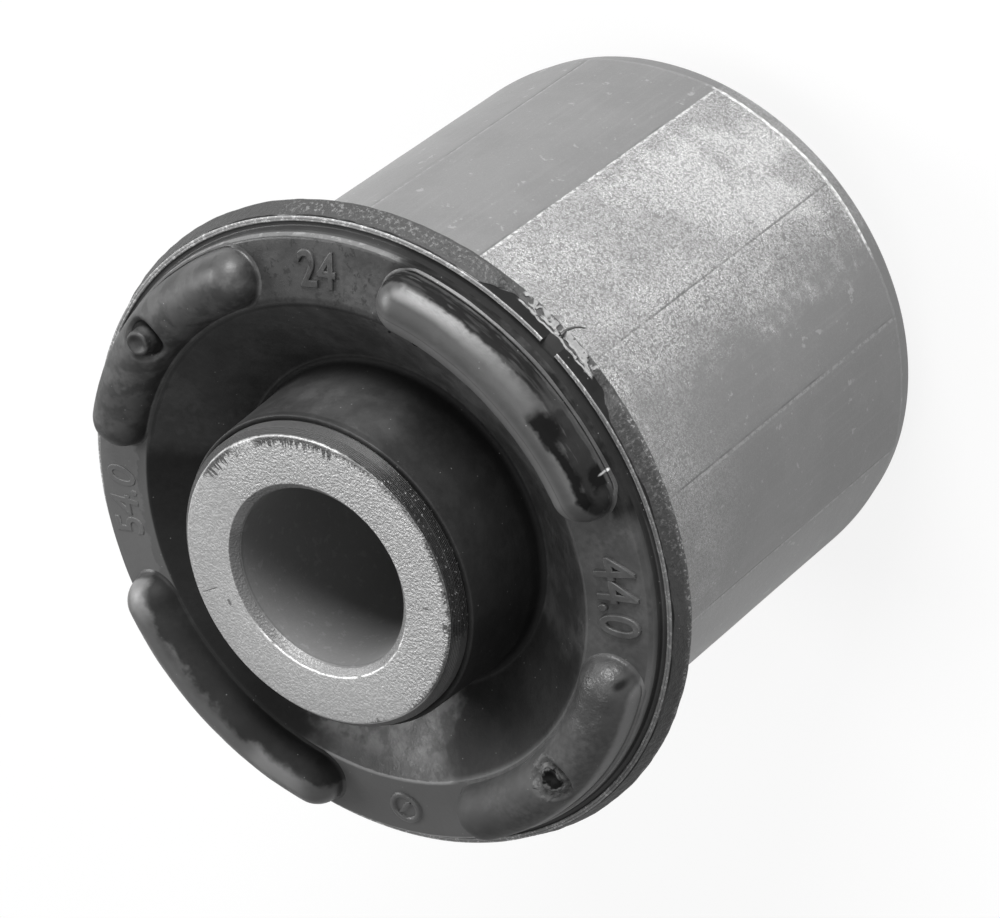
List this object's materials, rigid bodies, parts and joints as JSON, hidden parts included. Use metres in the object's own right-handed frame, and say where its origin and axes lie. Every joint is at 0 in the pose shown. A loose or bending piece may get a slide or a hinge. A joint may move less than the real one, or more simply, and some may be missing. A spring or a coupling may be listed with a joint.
{
  "type": "rubber metal bush",
  "caption": "Flanged suspension bush: thick steel inner sleeve bonded in rubber inside a thin steel outer sleeve, with moulded end bumpers and a bolt hole through it.",
  "frame": {"origin": "centre of the inner sleeve's rear end face, on which the bush stands", "axes": "+Z along the bolt hole towards the flanged end; bumpers lie on +X, -X, +Y and -Y, and the notch in the rim is on -Y"},
  "size_m": [0.0518, 0.0518, 0.054],
  "materials": {
    "inner_steel": "shot-blasted end faces, turned sides",
    "rubber": "moulded, slightly glossy",
    "outer_steel": "phosphated matt grey"
  },
  "bodies": {
    "root": {"inner_sleeve": "inner_steel", "rubber_body": "rubber", "outer_sleeve": "outer_steel"}
  },
  "joints": []
}
